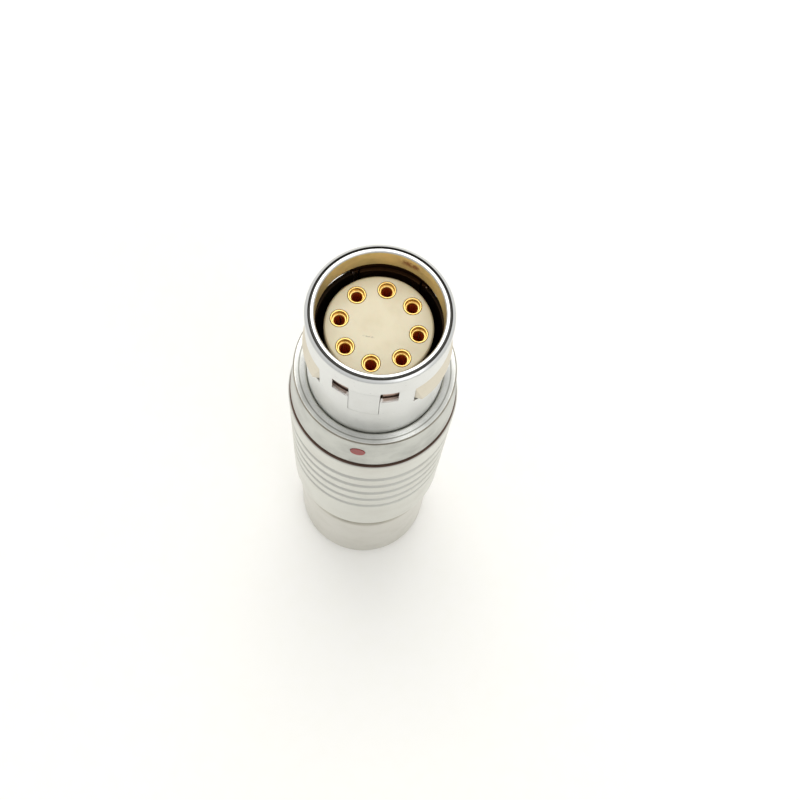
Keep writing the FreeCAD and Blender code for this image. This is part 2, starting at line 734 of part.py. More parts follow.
def make_earthing_cone():
    """Flanged ring between the core and the collet, where the cable's braid ends."""
    body = new_body("earthing_cone")
    skirt = "(Place.cable_grip_radius + Dims.cone_wall)"
    revolve(body, "cone_wall", [
        ("Place.cable_grip_radius", "Place.cone_rear"),
        ("Place.collet_radius", "Place.cone_rear"),
        ("Place.collet_radius", "Place.core_rear"),
        (skirt + " - Dims.seat_fit - Dims.slide_fit", "Place.core_rear"),
        ("Place.cable_grip_radius + Dims.cone_tip_wall",
         "Place.core_rear + Dims.cone_skirt_length"),
        ("Place.cable_grip_radius", "Place.core_rear + Dims.cone_skirt_length"),
    ])
    return body


def make_collet():
    """Slotted collet that the back nut's cone closes on the cable."""
    body = new_body("collet")
    revolve(body, "collet_wall", [
        ("Place.cable_grip_radius", "Place.collet_rear"),
        ("Place.cable_radius - Dims.collet_gap", "Place.collet_rear"),
        ("Place.collet_radius", "Place.collet_cone_top"),
        ("Place.collet_radius", "Place.collet_front"),
        ("Place.cable_grip_radius", "Place.collet_front"),
    ])
    half = "Dims.collet_slot_width / 2"
    sketch = new_sketch(body, "collet_slot_outline", "XY_Plane", "Place.collet_rear - 1")
    draw_rectangle(sketch, "0", "Place.nut_bore", "-" + half, half)
    slot = pocket(body, "collet_slot", sketch, both_sides=False, reverse=True,
                  depth="Place.collet_front - Dims.collet_web - Place.collet_rear + 1")
    polar_pattern(body, "collet_slots", slot, sketch, "Dims.collet_slots")
    return body


def make_back_nut():
    """Back nut: cable mouth, cone for the collet, thread bore and neck in the sleeve."""
    body = new_body("back_nut")
    revolve(body, "nut_wall", [
        ("Place.cable_radius + Dims.cable_mouth_bevel", "0"),
        ("Place.nut_radius - Dims.nut_bevel", "0"),
        ("Place.nut_radius", "Dims.nut_bevel"),
        ("Place.nut_radius", "Dims.nut_length - Dims.nut_shoulder_bevel"),
        ("Place.nut_radius - Dims.nut_shoulder_bevel", "Dims.nut_length"),
        ("Place.neck_radius", "Dims.nut_length"),
        ("Place.neck_radius", "Place.neck_top"),
        ("Place.nut_bore", "Place.neck_top"),
        ("Place.nut_bore", "Place.collet_cone_top"),
        ("Place.cable_radius + Dims.collet_gap", "Dims.nut_floor"),
        ("Place.cable_radius", "Dims.nut_floor"),
        ("Place.cable_radius", "Dims.cable_mouth_bevel"),
    ])
    return body


def make_return_spring():
    """Coil spring between the core's flange and the nose's flange."""
    wire_radius = value("Dims.spring_wire") / 2
    mean_radius = value("Place.spring_radius")
    end_gap = value("Dims.spring_end_gap") + wire_radius
    foot = value("Place.core_flange_front") + end_gap
    head = value("Place.nose_rear") - end_gap
    turns = value("Dims.spring_turns")
    turn_count = 14
    corner_count = 6
    steps = int(round(turns * turn_count))
    sections = []
    for step in range(steps + 1):
        bearing = 2 * math.pi * turns * step / steps
        level = foot + (head - foot) * step / steps
        corners = []
        for corner in range(corner_count):
            angle = 2 * math.pi * corner / corner_count
            radius = mean_radius + wire_radius * math.cos(angle)
            corners.append(FreeCAD.Vector(radius * math.cos(bearing), radius * math.sin(bearing),
                                          level + wire_radius * math.sin(angle)))
        sections.append(Part.makePolygon(corners + corners[:1]))
    spring = doc.addObject("Part::Feature", "return_spring")
    spring.Shape = Part.makeLoft(sections, True, True)
    spring.Label = "return_spring"
    spring.Placement = FreeCAD.Placement()
    return spring


def build_all():
    """Make every sub-part and return them in order from the front."""
    parts = [
        make_nose_tube(),
        make_alignment_key(),
        make_release_sleeve(),
        make_alignment_dot(),
        make_retaining_ring(),
        make_latch_claw("latch_claw_right", 0),
        make_latch_claw("latch_claw_left", 180),
        make_latch_cage(),
        make_core_body(),
        make_return_spring(),
        make_front_insulator(),
        make_rear_insulator(),
    ]
    parts += [make_contact(number) for number in range(1, int(value("Dims.contact_count")) + 1)]
    parts += [
        make_insert_carrier("insert_carrier_right", 0),
        make_insert_carrier("insert_carrier_left", 180),
        make_earthing_cone(),
        make_collet(),
        make_back_nut(),
    ]
    return parts


def check_document():
    """Stop if any object of the document failed to compute."""
    for item in doc.Objects:
        for state in item.State:
            if state in ("Invalid", "Error"):
                raise RuntimeError("%s is %s" % (item.Name, state))


def export_parts(parts):
    """Check each sub-part's shape and write it to its own file."""
    os.makedirs("parts", exist_ok=True)
    for part in parts:
        shape = part.Shape
        if shape.isNull() or not shape.isValid():
            raise RuntimeError("%s has no valid shape" % part.Label)
        shape.exportStep("parts/%s.step" % part.Label)
        print("%s: %d solid, %.3f mm3" % (part.Label, len(shape.Solids), shape.Volume))


all_parts = build_all()
doc.recompute()
check_document()
export_parts(all_parts)
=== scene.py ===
import math
import bmesh
import bpy
from mathutils import Matrix, Vector

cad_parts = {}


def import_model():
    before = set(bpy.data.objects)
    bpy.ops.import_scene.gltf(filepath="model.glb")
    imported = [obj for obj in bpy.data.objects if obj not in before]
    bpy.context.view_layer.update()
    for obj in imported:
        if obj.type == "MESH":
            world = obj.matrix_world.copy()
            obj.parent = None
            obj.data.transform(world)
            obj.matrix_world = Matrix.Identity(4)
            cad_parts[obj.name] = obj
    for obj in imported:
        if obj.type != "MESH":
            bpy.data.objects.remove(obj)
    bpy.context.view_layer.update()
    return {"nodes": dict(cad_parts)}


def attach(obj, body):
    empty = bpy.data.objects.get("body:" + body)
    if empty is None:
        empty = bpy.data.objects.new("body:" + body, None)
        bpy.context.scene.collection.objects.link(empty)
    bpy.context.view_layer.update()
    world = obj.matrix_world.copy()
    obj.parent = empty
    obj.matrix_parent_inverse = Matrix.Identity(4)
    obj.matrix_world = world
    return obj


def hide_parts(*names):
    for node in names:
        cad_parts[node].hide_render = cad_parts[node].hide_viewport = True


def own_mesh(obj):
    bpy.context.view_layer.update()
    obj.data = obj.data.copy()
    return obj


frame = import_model()

MM = 0.001

# Sizes that several pieces share, in mm. Heights are from the foot of the back nut.
RIM = 53.0
LIP_UNDERSIDE = 50.95
FACE = 50.25
SLEEVE_FRONT = 41.6
NOSE_STEP = 38.5
SLEEVE_RADIUS = 7.5
SLEEVE_BORE = 6.38
NOSE_RADIUS = 5.75
LIP_BORE = 4.98
INSULATOR_RADIUS = 4.29
CONTACT_CIRCLE = 3.14
CONTACT_COUNT = 8

# How finely the turned pieces are divided, and the angle that keeps an edge sharp.
ROUND_SEGMENTS = 192
SHARP_ANGLE = math.radians(38)
ON_AXIS = 1e-9


# Materials. Every one is made of procedural nodes in the piece's own space.

def srgb(red, green, blue):
    """A colour written as 0-255 screen values, as linear light."""
    out = []
    for value in (red, green, blue):
        v = value / 255.0
        out.append(v / 12.92 if v <= 0.04045 else ((v + 0.055) / 1.055) ** 2.4)
    return out + [1.0]


def darker(colour, share):
    return [channel * share for channel in colour[:3]] + [1.0]


class Nodes:
    """A short way to write a node tree that ends in one shader."""

    def __init__(self, tree, shader="Principled BSDF"):
        self.tree = tree
        self.shader = tree.nodes[shader]

    def feed(self, socket, value):
        """Link the value to the socket if it comes from a node, or else set it there."""
        if isinstance(value, bpy.types.NodeSocket):
            self.tree.links.new(value, socket)
        else:
            socket.default_value = value

    def link(self, source, name):
        self.tree.links.new(source, self.shader.inputs[name])

    def set(self, name, value):
        self.shader.inputs[name].default_value = value

    def math(self, operation, a, b=0.0, c=0.0, clamp=False):
        node = self.tree.nodes.new("ShaderNodeMath")
        node.operation = operation
        node.use_clamp = clamp
        for index, value in enumerate((a, b, c)):
            self.feed(node.inputs[index], value)
        return node.outputs[0]

    def times(self, first, *others):
        """The product of all the values."""
        for other in others:
            first = self.math("MULTIPLY", first, other)
        return first

    def mix(self, factor, a, b):
        """Colour a where the factor is 0, colour b where it is 1."""
        node = self.tree.nodes.new("ShaderNodeMix")
        node.data_type = "RGBA"
        self.feed(node.inputs[0], factor)
        self.feed(node.inputs[6], a)
        self.feed(node.inputs[7], b)
        return node.outputs[2]

    def ramp(self, value, low, high):
        """The value mapped so that low gives 0 and high gives 1."""
        node = self.tree.nodes.new("ShaderNodeMapRange")
        node.interpolation_type = "SMOOTHSTEP"
        self.tree.links.new(value, node.inputs["Value"])
        node.inputs["From Min"].default_value = low
        node.inputs["From Max"].default_value = high
        return node.outputs["Result"]

    def within(self, value, low, high, soft=0.03):
        """1 between low and high, 0 outside, with a short blend."""
        return self.times(self.ramp(value, low - soft, low + soft),
                          self.ramp(value, high + soft, high - soft))

    def position(self):
        """Where a point lies in the piece's own space."""
        return self.tree.nodes.new("ShaderNodeTexCoord").outputs["Object"]

    def split(self, vector):
        node = self.tree.nodes.new("ShaderNodeSeparateXYZ")
        self.tree.links.new(vector, node.inputs[0])
        return node.outputs

    def in_mm(self, value):
        return self.times(value, 1.0 / MM)

    def distance(self, x, y):
        """How far a point lies from the plug's axis."""
        return self.math("SQRT", self.math("ADD", self.times(x, x), self.times(y, y)))

    def axial(self, vector):
        """(radius from the plug's axis, height), in mm."""
        x, y, z = self.split(vector)
        return self.in_mm(self.distance(x, y)), self.in_mm(z)

    def noise(self, vector, size_mm, detail=3.0, rough=0.55):
        node = self.tree.nodes.new("ShaderNodeTexNoise")
        self.tree.links.new(vector, node.inputs["Vector"])
        node.inputs["Scale"].default_value = 1.0 / (size_mm * MM)
        node.inputs["Detail"].default_value = detail
        node.inputs["Roughness"].default_value = rough
        return node.outputs["Fac"]

    def rings(self, vector, pitch_mm, detail=4.0):
        """Noise that only changes along the axis and the radius, as turning marks do."""
        x, y, z = self.split(vector)
        node = self.tree.nodes.new("ShaderNodeTexNoise")
        node.noise_dimensions = "1D"
        self.tree.links.new(self.math("ADD", z, self.distance(x, y)), node.inputs["W"])
        node.inputs["Scale"].default_value = 1.0 / (pitch_mm * MM)
        node.inputs["Detail"].default_value = detail
        return node.outputs["Fac"]

    def bump(self, height, depth_mm, strength, normal):
        node = self.tree.nodes.new("ShaderNodeBump")
        self.tree.links.new(height, node.inputs["Height"])
        node.inputs["Distance"].default_value = depth_mm * MM
        node.inputs["Strength"].default_value = strength
        self.tree.links.new(normal, node.inputs["Normal"])
        return node.outputs["Normal"]

    def soft_edges(self, radius_mm):
        node = self.tree.nodes.new("ShaderNodeBevel")
        node.samples = 6
        node.inputs["Radius"].default_value = radius_mm * MM
        return node.outputs["Normal"]


def started(name):
    """A new material and its nodes."""
    material = bpy.data.materials.new(name)
    material.use_nodes = True
    return material, Nodes(material.node_tree)


# How strongly each kind of wear shows on the metals.
STAIN_SHARE = 0.55
PIT_SHARE = 0.25
PIT_SHADE = 0.55
ZONE_SHADE = 0.72
CLOUD_DULLS = 0.10
MARKS_DULL = 0.10
GRAIN_DULLS = 0.05

# Where the lip's bore is tan: its radii and heights.
TAN_RADII, TAN_HEIGHTS = (4.0, 5.04), (50.9, 52.87)


def zone(radii, heights, colour, rough, blend=0.03):
    """A groove or bore with a colour and roughness of its own, between two radii and two heights
    in mm; several are painted shade.
    """
    return radii, heights, colour, rough, blend


def metal(name, colour, stain, rough, edge=0.05, zones=()):
    """Plated, turned metal: turning marks, faint stains, tiny pits and soft edges."""
    material, n = started(name)
    where = n.position()
    cloud = n.noise(where, size_mm=3.2, detail=4.0)
    grain = n.noise(where, size_mm=0.16, detail=2.0, rough=0.6)
    marks = n.rings(where, pitch_mm=0.14)
    pits = n.ramp(n.noise(where, size_mm=0.34, detail=1.0), low=0.70, high=0.80)
    stained = n.mix(n.times(n.ramp(cloud, low=0.40, high=0.90), STAIN_SHARE), colour, stain)
    paint = n.mix(n.times(pits, PIT_SHARE), stained, darker(stain, PIT_SHADE))
    dullness = n.math("MULTIPLY_ADD", cloud, CLOUD_DULLS, rough - 0.07)
    dullness = n.math("MULTIPLY_ADD", marks, MARKS_DULL, dullness)
    radius, height = n.axial(where)
    # Zones with their own colour, several of them painted shade in grooves and bores.
    for radii, heights, zone_colour, zone_rough, blend in zones:
        share = n.times(n.within(radius, *radii), n.within(height, *heights, blend))
        shaded = n.ramp(cloud, low=0.35, high=0.75)
        paint = n.mix(share, paint, n.mix(shaded, zone_colour, darker(zone_colour, ZONE_SHADE)))
        dullness = n.math("ADD", dullness, n.times(share, zone_rough - rough))
    n.link(paint, "Base Color")
    n.set("Metallic", 1.0)
    n.link(n.math("MULTIPLY_ADD", grain, GRAIN_DULLS, dullness, clamp=True), "Roughness")
    relief = n.math("MULTIPLY_ADD", marks, 1.0, n.times(grain, 0.35))
    n.link(n.bump(relief, 0.004, 0.6, n.soft_edges(edge)), "Normal")
    return material


def lip_bore_shade_and_smudge(material):
    """Paint shade on the lip's tan bore, darker away from its far wall, and leave one brown smudge
    on that far wall.
    """
    n = Nodes(material.node_tree)
    clean = n.shader.inputs["Base Color"].links[0].from_socket
    where = n.position()
    radius, height = n.axial(where)
    x, y, _ = n.split(where)
    across, along = n.in_mm(x), n.in_mm(y)
    bore = n.times(n.within(radius, *TAN_RADII), n.within(height, *TAN_HEIGHTS))
    # Painted shade: the bore darkens away from its far wall.
    side_shade = n.times(bore, n.ramp(along, low=3.6, high=0.6), 0.72)
    paint = n.mix(side_shade, clean, srgb(120, 104, 74))
    smudge = n.times(n.within(across, 0.7, 2.3, soft=0.5),
                     n.within(height, 51.7, 52.4, soft=0.25),
                     n.ramp(along, low=2.0, high=3.0), bore)
    ragged = n.ramp(n.noise(where, size_mm=0.5), low=0.30, high=0.62)
    n.link(n.mix(n.times(smudge, ragged, 0.85), paint, srgb(150, 84, 50)), "Base Color")


def moulded(n, grain, rough, depth_mm, glow):
    """A plastic's finish: fine grain, soft edges and a little light through it."""
    n.link(n.math("MULTIPLY_ADD", grain, 0.16, rough), "Roughness")
    n.set("Subsurface Weight", glow)
    n.set("Subsurface Scale", 0.6 * MM)
    n.set("Specular IOR Level", 0.45)
    n.link(n.bump(grain, depth_mm, 0.5, n.soft_edges(0.04)), "Normal")


def plastic(name, colour, stain, rough):
    """Moulded plastic that is slightly cloudy."""
    material, n = started(name)
    where = n.position()
    cloud = n.noise(where, size_mm=1.6)
    grain = n.noise(where, size_mm=0.09, detail=2.0, rough=0.6)
    n.link(n.mix(n.ramp(cloud, low=0.35, high=0.80), colour, stain), "Base Color")
    moulded(n, grain, rough, depth_mm=0.006, glow=0.12)
    return material


def insulator_face():
    """Ivory insulator with a faint grey scratch, and painted shade round the edge of its front
    face.
    """
    material, n = started("ivory_face")
    where = n.position()
    cloud = n.noise(where, size_mm=1.8)
    grain = n.noise(where, size_mm=0.09, detail=2.0, rough=0.6)
    radius, _ = n.axial(where)
    x, y, _ = n.split(where)
    across, along = n.in_mm(x), n.in_mm(y)
    paint = n.mix(n.ramp(cloud, low=0.35, high=0.80), srgb(226, 217, 190), srgb(217, 206, 176))
    # Painted shade: darker and browner towards the face's edge, deep in the nose.
    edge_shade = n.times(n.ramp(radius, low=3.9, high=INSULATOR_RADIUS - 0.01), 0.35)
    paint = n.mix(edge_shade, paint, srgb(196, 176, 132))
    wave = n.math("MULTIPLY_ADD", n.noise(where, size_mm=0.4, detail=2.0), 0.24, -0.12)
    off_line = n.math("ABSOLUTE", n.math("ADD", n.math("ADD", along, 1.02), wave))
    scratch = n.times(n.ramp(off_line, low=0.085, high=0.02),
                      n.within(across, -1.05, -0.25, soft=0.16),
                      n.ramp(n.noise(where, size_mm=0.12, detail=2.0), low=0.36, high=0.60))
    n.link(n.mix(n.times(scratch, 0.65), paint, srgb(150, 144, 126)), "Base Color")
    moulded(n, grain, 0.34, depth_mm=0.005, glow=0.10)
    return material


def gold_plate():
    """Gold plating with painted shade down the socket's bore, where it turns dark red-brown."""
    material, n = started("gold_plate")
    where = n.position()
    cloud = n.noise(where, size_mm=0.5)
    grain = n.noise(where, size_mm=0.05, detail=2.0)
    _, height = n.axial(where)
    bright = n.mix(n.ramp(cloud, low=0.35, high=0.75), srgb(238, 203, 126), srgb(222, 180, 100))
    # Painted shade: darker, redder and duller down the bore.
    bore_shade = n.times(n.ramp(height, low=49.84, high=49.60), n.ramp(height, low=40.0, high=44.0))
    n.link(n.mix(bore_shade, bright, srgb(236, 138, 72)), "Base Color")
    n.set("Metallic", 1.0)
    dullness = n.math("ADD", n.times(bore_shade, 0.30), 0.20)
    n.link(n.math("MULTIPLY_ADD", grain, 0.18, dullness), "Roughness")
    n.link(n.bump(grain, 0.002, 0.4, n.soft_edges(0.03)), "Normal")
    return material


# The zones: the nose's rim line and dark inside, painted shade, and its tan lip bore; the key's
# inside, painted shade;
# the sleeve's neck groove and front step, painted shade, its tapered band, dished face and the
# line in it; the nut's collar, painted with the sleeve's shadow; the inside of the claws, painted
# shade; the cage's bright land.
# Dark brown painted shade for the inside of the nose and for the latch cage in it.
SHADE_BROWN = srgb(96, 68, 44)
# Painted shade: the rim's groove and the edges beside it are painted dark.
rim_line_shade = zone((5.28, 5.49), (52.82, 53.05), srgb(48, 45, 40), 0.5)
lip_bore = zone(TAN_RADII, TAN_HEIGHTS, srgb(255, 232, 170), 0.62)
# Painted shade: the nose's inner wall below the lip, in dark brown.
nose_inside_shade = zone((4.0, 5.40), (36.0, 50.9), SHADE_BROWN, 0.5)
# Painted shade: the key's inside face within the tube, in brown.
key_inside_shade = zone((4.0, 5.40), (36.0, 51.0), srgb(150, 116, 76), 0.45)
# Painted shade in the sleeve's neck groove.
neck_groove_shade = zone((7.0, 7.40), (36.38, 36.97), srgb(112, 92, 82), 0.5)
tapered_band = zone((6.86, 7.33), (37.0, 41.40), srgb(199, 200, 194), 0.36, blend=0.04)
# Painted shade on the ledge of the sleeve's front step.
front_step_shade = zone((6.81, 6.93), (41.38, 41.56), srgb(150, 145, 133), 0.45)
dished_face = zone((5.92, 6.80), (41.20, 41.64), srgb(240, 240, 236), 0.24, blend=0.02)
face_line = zone((6.38, 6.50), (41.20, 41.64), srgb(176, 175, 168), 0.40, blend=0.02)
# Painted shadow of the sleeve on the nut's collar, with a wide blend.
nut_collar_shadow = zone((6.0, 7.2), (12.9, 17.4), srgb(190, 186, 174), 0.45, blend=0.5)
# Painted shade on the claws' inner faces within the tube.
claw_inside_shade = zone((4.0, 5.30), (39.0, 50.3), srgb(58, 46, 34), 0.5)
cage_land = zone((5.20, 5.40), (47.5, 49.76), srgb(214, 184, 168), 0.5)

nickel_nose = metal("nickel_nose", srgb(222, 223, 221), srgb(208, 207, 202), 0.26,
                    zones=(rim_line_shade, lip_bore, nose_inside_shade))
lip_bore_shade_and_smudge(nickel_nose)
nickel_key = metal("nickel_key", srgb(220, 221, 219), srgb(206, 205, 200), 0.28,
                   zones=(key_inside_shade,))
nickel_sleeve = metal("nickel_sleeve", srgb(213, 213, 206), srgb(198, 195, 186), 0.34,
                      zones=(neck_groove_shade, tapered_band, front_step_shade, dished_face, face_line))
nickel_nut = metal("nickel_nut", srgb(212, 210, 203), srgb(195, 192, 182), 0.38,
                   zones=(nut_collar_shadow,))
nickel_claw = metal("nickel_claw", srgb(220, 213, 197), srgb(200, 190, 170), 0.36, edge=0.07,
                    zones=(claw_inside_shade,))
spring_steel = metal("spring_steel", srgb(176, 176, 172), srgb(140, 136, 128), 0.30)
# The latch cage is painted dark brown as the shade in the gap inside the nose; its land is
# lighter.
cage_painted_shade = metal("cage_painted_shade", SHADE_BROWN, srgb(54, 38, 25), 0.42, zones=(cage_land,))
brass = metal("brass", srgb(196, 168, 112), srgb(168, 136, 84), 0.32)
ivory = plastic("ivory", srgb(222, 212, 186), srgb(212, 200, 170), 0.32)
enamel = plastic("enamel", srgb(150, 20, 16), srgb(112, 10, 10), 0.26)
gold = gold_plate()
ivory_face = insulator_face()

looks = {
    "nose_tube": nickel_nose,
    "alignment_key": nickel_key,
    "release_sleeve": nickel_sleeve,
    "back_nut": nickel_nut,
    "alignment_dot": enamel,
    "retaining_ring": spring_steel,
    "return_spring": spring_steel,
    "latch_claw_right": nickel_claw,
    "latch_claw_left": nickel_claw,
    "latch_cage": cage_painted_shade,
    "core_body": brass,
    "earthing_cone": brass,
    "insert_carrier_right": brass,
    "insert_carrier_left": brass,
    "collet": brass,
    "front_insulator": ivory_face,
    "rear_insulator": ivory,
}
for number in range(1, CONTACT_COUNT + 1):
    looks["contact_%d" % number] = gold

for node_name, material in looks.items():
    mesh = frame["nodes"][node_name].data
    mesh.materials.clear()
    mesh.materials.append(material)


# Pieces with finer edges than the frame's, in the same place and form. Sizes in mm.

def new_object(name, data):
    made = bpy.data.objects.new(name, data)
    bpy.context.scene.collection.objects.link(made)
    return made


def as_mesh(made, name):
    """The shape being made, as a mesh."""
    mesh = bpy.data.meshes.new(name)
    made.to_mesh(mesh)
    made.free()
    return mesh


def softened(corners, steps=4):
    """A closed outline of (radius, height, rounding) corners, as plain points."""
    points = []
    for index, (radius, height, rounding) in enumerate(corners):
        here = Vector((radius, height))
        if rounding <= 0:
            points.append(here)
            continue
        before = Vector(corners[index - 1][:2])
        after = Vector(corners[(index + 1) % len(corners)][:2])
        back = before - here
        on = after - here
        reach = min(rounding, 0.45 * back.length, 0.45 * on.length)
        start = here + back.normalized() * reach
        end = here + on.normalized() * reach
        for step in range(steps + 1):
            t = step / steps
            points.append(start * (1 - t) ** 2 + here * 2 * t * (1 - t) + end * t ** 2)
    return points


def lathe(name, corners, segments):
    """A solid turned about the axis from a closed outline."""
    made = bmesh.new()
    rings = []
    for point in softened(corners):
        radius, height = point.x * MM, point.y * MM
        if radius < ON_AXIS:
            rings.append([made.verts.new((0.0, 0.0, height))])
            continue
        ring = []
        for step in range(segments):
            angle = 2 * math.pi * step / segments
            ring.append(made.verts.new(
                (radius * math.cos(angle), radius * math.sin(angle), height)))
        rings.append(ring)
    for index, ring in enumerate(rings):
        following = rings[(index + 1) % len(rings)]
        if len(ring) == 1 and len(following) == 1:
            continue
        for step in range(segments):
            turn = (step + 1) % segments
            if len(ring) == 1:
                made.faces.new((ring[0], following[step], following[turn]))
            elif len(following) == 1:
                made.faces.new((ring[step], following[0], ring[turn]))
            else:
                made.faces.new((ring[step], following[step], following[turn], ring[turn]))
    bmesh.ops.recalc_face_normals(made, faces=made.faces)
    return as_mesh(made, name)


def block(name, low, high):
    """A box between two corners."""
    made = bmesh.new()
    bmesh.ops.create_cube(made, size=1.0)
    for vert in made.verts:
        for axis in range(3):
            middle = (low[axis] + high[axis]) / 2
            vert.co[axis] = (middle + vert.co[axis] * (high[axis] - low[axis])) * MM
    return as_mesh(made, name)


def joined(name, meshes):
    """Several meshes as one."""
    made = bmesh.new()
    for mesh in meshes:
        made.from_mesh(mesh)
    return as_mesh(made, name)


def carved(mesh, cutters):
    """The mesh with the cutters taken away."""
    body = new_object("carved_body", mesh)
    helpers = []
    for cutter in cutters:
        helper = new_object("carving_tool", cutter)
        change = body.modifiers.new("cut", "BOOLEAN")
        change.operation = "DIFFERENCE"
        change.solver = "EXACT"
        change.object = helper
        helpers.append(helper)
    bpy.context.view_layer.update()
    solid = body.evaluated_get(bpy.context.evaluated_depsgraph_get())
    result = bpy.data.meshes.new_from_object(solid)
    for made in helpers + [body]:
        bpy.data.objects.remove(made)
    return result


def place(name, mesh, node, body, material):
    """Stand the mesh in for a node of the frame, with smooth shading and crisp flats."""
    mesh.materials.clear()
    mesh.materials.append(material)
    for face in mesh.polygons:
        face.use_smooth = True
    mesh.set_sharp_from_angle(angle=SHARP_ANGLE)
    made = new_object(name, mesh)
    shading = made.modifiers.new("flats", "WEIGHTED_NORMAL")
    shading.keep_sharp = True
    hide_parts(node)
    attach(made, body)
    return made


def nose():
    """The thin tube with the lip, the claw windows, the key's slot and its two ports."""
    foot, bore, flange = 36.1, 5.35, 6.35
    lip_mouth, rim_edge = 5.08, 0.035
    line_inner, line_outer, line_floor = 5.28, 5.41, RIM - 0.16
    mesh = lathe("nose", [
        (bore, foot, 0.05), (flange, foot, 0.08), (flange, NOSE_STEP, 0.08),
        (NOSE_RADIUS, NOSE_STEP, 0.0), (NOSE_RADIUS, RIM - 0.22, 0.12),
        (line_outer, RIM, rim_edge), (line_outer, line_floor, 0.0),
        (line_inner, line_floor, 0.0), (line_inner, RIM, rim_edge),
        (lip_mouth, RIM, rim_edge), (LIP_BORE, RIM - 0.10, rim_edge),
        (LIP_BORE, LIP_UNDERSIDE, 0.05), (bore, LIP_UNDERSIDE, 0.0),
    ], ROUND_SEGMENTS)
    beyond, overlap = 8, 0.001
    window_side, window_foot, window_head = 4.34, 47.05, 49.95
    slot_edge, slot_foot, slot_head = 1.25, 45.92, 50.28
    port_width, port_foot, port_head = 1.36, 48.7, 50.6
    cuts = [
        block("windows", (-beyond, -window_side, window_foot),
              (beyond, window_side, window_head)),
        block("key_slot", (-slot_edge, -beyond, slot_foot), (slot_edge, 0, slot_head)),
        block("port_right", (slot_edge - overlap, -beyond, port_foot),
              (slot_edge + port_width, 0, port_head)),
        block("port_left", (-slot_edge - port_width, -beyond, port_foot),
              (-slot_edge + overlap, 0, port_head)),
    ]
    place("nose_fine", carved(mesh, cuts), "nose_tube", "release_shell",
          nickel_nose)


def sleeve():
    """The outer sleeve: five grip grooves, the neck groove, the band and the dished face."""
    foot = 15.8
    grooves, groove_pitch, top_groove = 5, 2.35, 8.94
    groove_half, floor_half, groove_floor = 0.50, 0.23, SLEEVE_RADIUS - 0.30
    neck_foot, neck_head, neck_floor = 36.48, 36.98, 7.16
    band_radius, band_front, step_radius = 7.28, 6.95, 6.83
    step_foot, mouth = SLEEVE_FRONT - 0.16, 5.78
    corners = [
        (SLEEVE_BORE, foot, 0.05), (7.15, foot, 0.12), (SLEEVE_RADIUS, 16.15, 0.12),
    ]
    for row in range(grooves):
        centre = SLEEVE_FRONT - top_groove - groove_pitch * (grooves - 1 - row)
        corners += [
            (SLEEVE_RADIUS, centre - groove_half, 0.10), (groove_floor, centre - floor_half, 0.10),
            (groove_floor, centre + floor_half, 0.10), (SLEEVE_RADIUS, centre + groove_half, 0.10),
        ]
    corners += [
        (SLEEVE_RADIUS, neck_foot - 0.12, 0.05), (7.38, neck_foot, 0.05),
        (neck_floor, neck_foot, 0.0), (neck_floor, neck_head, 0.0),
        (band_radius, neck_head, 0.05), (band_radius, 37.3, 0.10),
        (band_front, step_foot, 0.05), (step_radius, step_foot, 0.0),
        (step_radius, SLEEVE_FRONT, 0.05), (5.95, SLEEVE_FRONT - 0.34, 0.04),
        (mouth, SLEEVE_FRONT - 0.51, 0.04), (mouth, NOSE_STEP, 0.0),
        (SLEEVE_BORE, NOSE_STEP, 0.0),
    ]
    dot_radius, dot_floor, dot_height, beyond = 0.67, 6.34, 39.66, 8.5
    seat = lathe("dot_seat", [
        (0, dot_floor, 0), (dot_radius, dot_floor, 0), (dot_radius, beyond, 0), (0, beyond, 0),
    ], 64)
    seat.transform(Matrix.Translation((0, 0, dot_height * MM))
                   @ Matrix.Rotation(math.pi / 2, 4, "X"))
    mesh = carved(lathe("sleeve", corners, ROUND_SEGMENTS), [seat])
    place("sleeve_fine", mesh, "release_sleeve", "release_shell", nickel_sleeve)


def nut():
    """The back nut with the collar that goes up into the sleeve."""
    outside, collar, thread_bore, cable_bore = 7.0, 6.26, 5.55, 4.4
    shoulder, top, thread_foot, cone_foot = 14.0, 17.0, 7.3, 3.0
    mesh = lathe("nut", [
        (4.9, 0.0, 0.06), (6.55, 0.0, 0.12), (outside, 0.45, 0.12), (outside, 13.6, 0.12),
        (6.6, shoulder, 0.06), (collar, shoulder, 0.0), (collar, top, 0.06),
        (thread_bore, top, 0.06), (thread_bore, thread_foot, 0.0), (4.5, cone_foot, 0.0),
        (cable_bore, cone_foot, 0.0), (cable_bore, 0.5, 0.05),
    ], ROUND_SEGMENTS)
    place("nut_fine", mesh, "back_nut", "back_nut", nickel_nut)


def contact_bearing(number):
    """The direction from the plug's axis to a contact's, counted from the key."""
    return 360 / CONTACT_COUNT * number - 90


def moved_to_contact(number):
    bearing = math.radians(contact_bearing(number))
    return Matrix.Translation((
        CONTACT_CIRCLE * MM * math.cos(bearing), CONTACT_CIRCLE * MM * math.sin(bearing), 0))


def insulator():
    """The ivory disc with a stepped hole for each contact."""
    foot = 41.0
    mesh = lathe("insulator", [
        (0, foot, 0), (INSULATOR_RADIUS, foot, 0.05), (INSULATOR_RADIUS, FACE - 0.12, 0.04),
        (4.17, FACE, 0.04), (0, FACE, 0),
    ], 144)
    wide, narrow, mouth, step = 0.865, 0.745, 0.805, 42.0
    below, above = 40.5, FACE + 0.5
    holes = []
    for number in range(CONTACT_COUNT):
        hole = lathe("hole", [
            (0, below, 0), (wide, below, 0), (wide, step, 0), (narrow, step, 0),
            (narrow, FACE - 0.04, 0), (mouth, FACE + 0.02, 0), (mouth, above, 0),
            (0, above, 0),
        ], 48)
        hole.transform(moved_to_contact(number))
        holes.append(hole)
    place("insulator_fine", carved(mesh, [joined("holes", holes)]), "front_insulator", "core",
          ivory_face)


